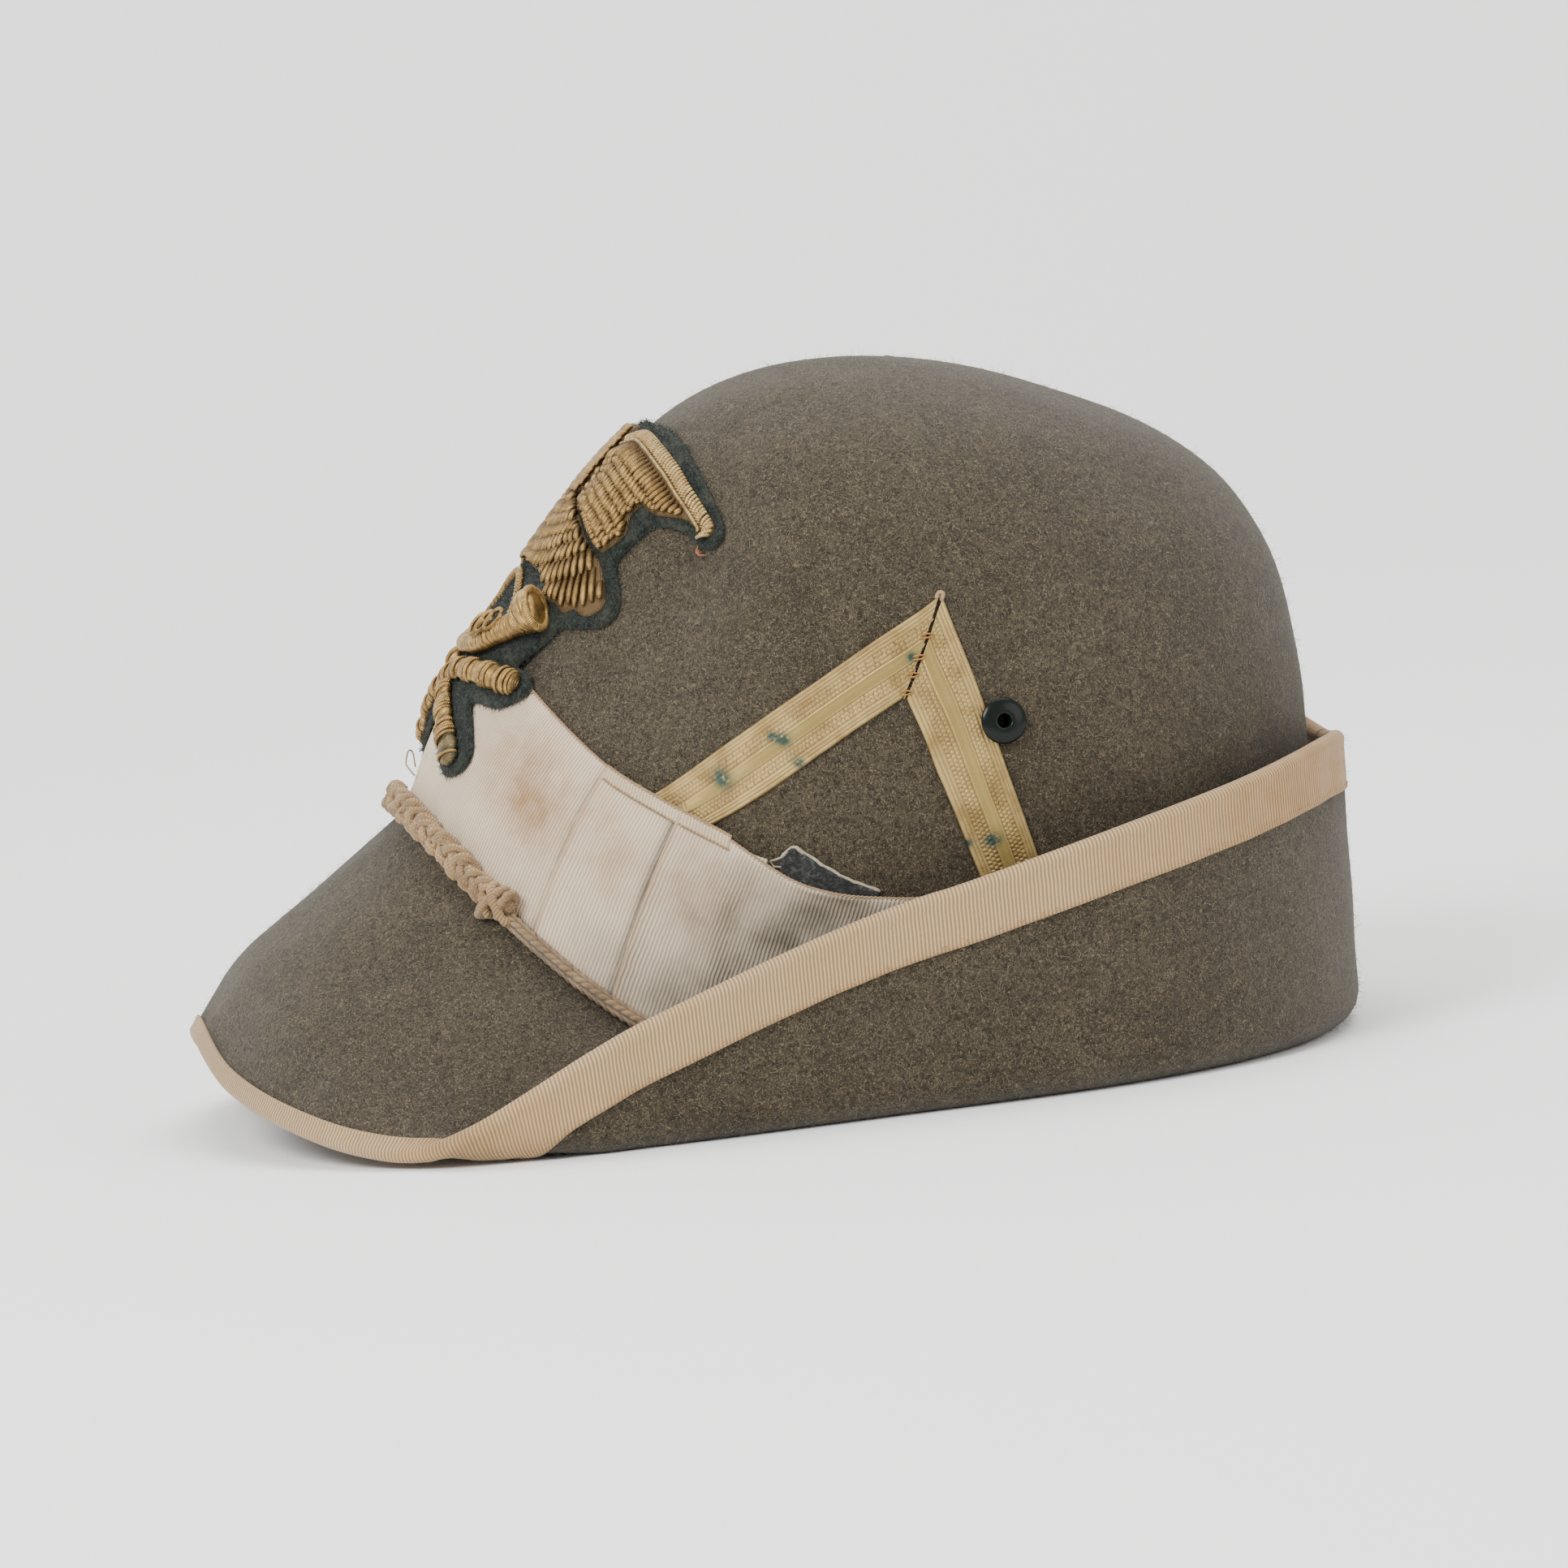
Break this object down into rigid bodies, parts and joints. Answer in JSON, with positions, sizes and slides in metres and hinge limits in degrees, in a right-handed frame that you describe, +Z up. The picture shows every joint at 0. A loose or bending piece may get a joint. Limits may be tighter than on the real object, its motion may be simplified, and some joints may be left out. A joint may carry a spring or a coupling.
{
  "type": "alpini hat",
  "caption": "Blocked felt hat with a turned-down peak, a brim turned up round the sides and back, ribbed ribbon edge and band, braided cord, padded gold eagle badge and lace chevron.",
  "frame": {"origin": "middle of the object's box on the table that the hat stands on", "axes": "+Z up, +X toward the back of the hat, +Y toward the wearer's right"},
  "size_m": [0.2786, 0.2174, 0.1672],
  "materials": {
    "felt": "matt wool felt with short light fibres",
    "edge_ribbon": "ribbed ribbon, faded tan, dull sheen",
    "band_ribbon": "ribbed silk ribbon, faded and stained",
    "cord_cotton": "braided cotton cord, matt",
    "badge_cloth": "fuzzy wool cloth",
    "gold_thread": "metal purl embroidery, tarnished gold",
    "gold_lace": "woven metal lace, tarnished gold with green spots",
    "tab_leather": "dark leather, worn smooth, pale raw edge",
    "vent_paint": "glossy dark green paint"
  },
  "bodies": {
    "root": {"felt_body": "felt", "brim_binding": "edge_ribbon", "hat_band": "band_ribbon", "band_pleat_front": "band_ribbon", "band_pleat_back": "band_ribbon", "cord": "cord_cotton", "cord_plait": "cord_cotton", "cord_knot_left": "cord_cotton", "cord_knot_right": "cord_cotton", "badge_cloth": "badge_cloth", "eagle_wing_left": "gold_thread", "eagle_wing_right": "gold_thread", "eagle_tail": "gold_thread", "eagle_body": "gold_thread", "horn": "gold_thread", "horn_sling": "gold_thread", "barrel_over": "gold_thread", "barrel_left": "gold_thread", "barrel_right": "gold_thread", "lace_front": "gold_lace", "lace_back": "gold_lace", "feather_tab": "tab_leather", "vent_left": "vent_paint", "vent_right": "vent_paint"}
  },
  "joints": []
}
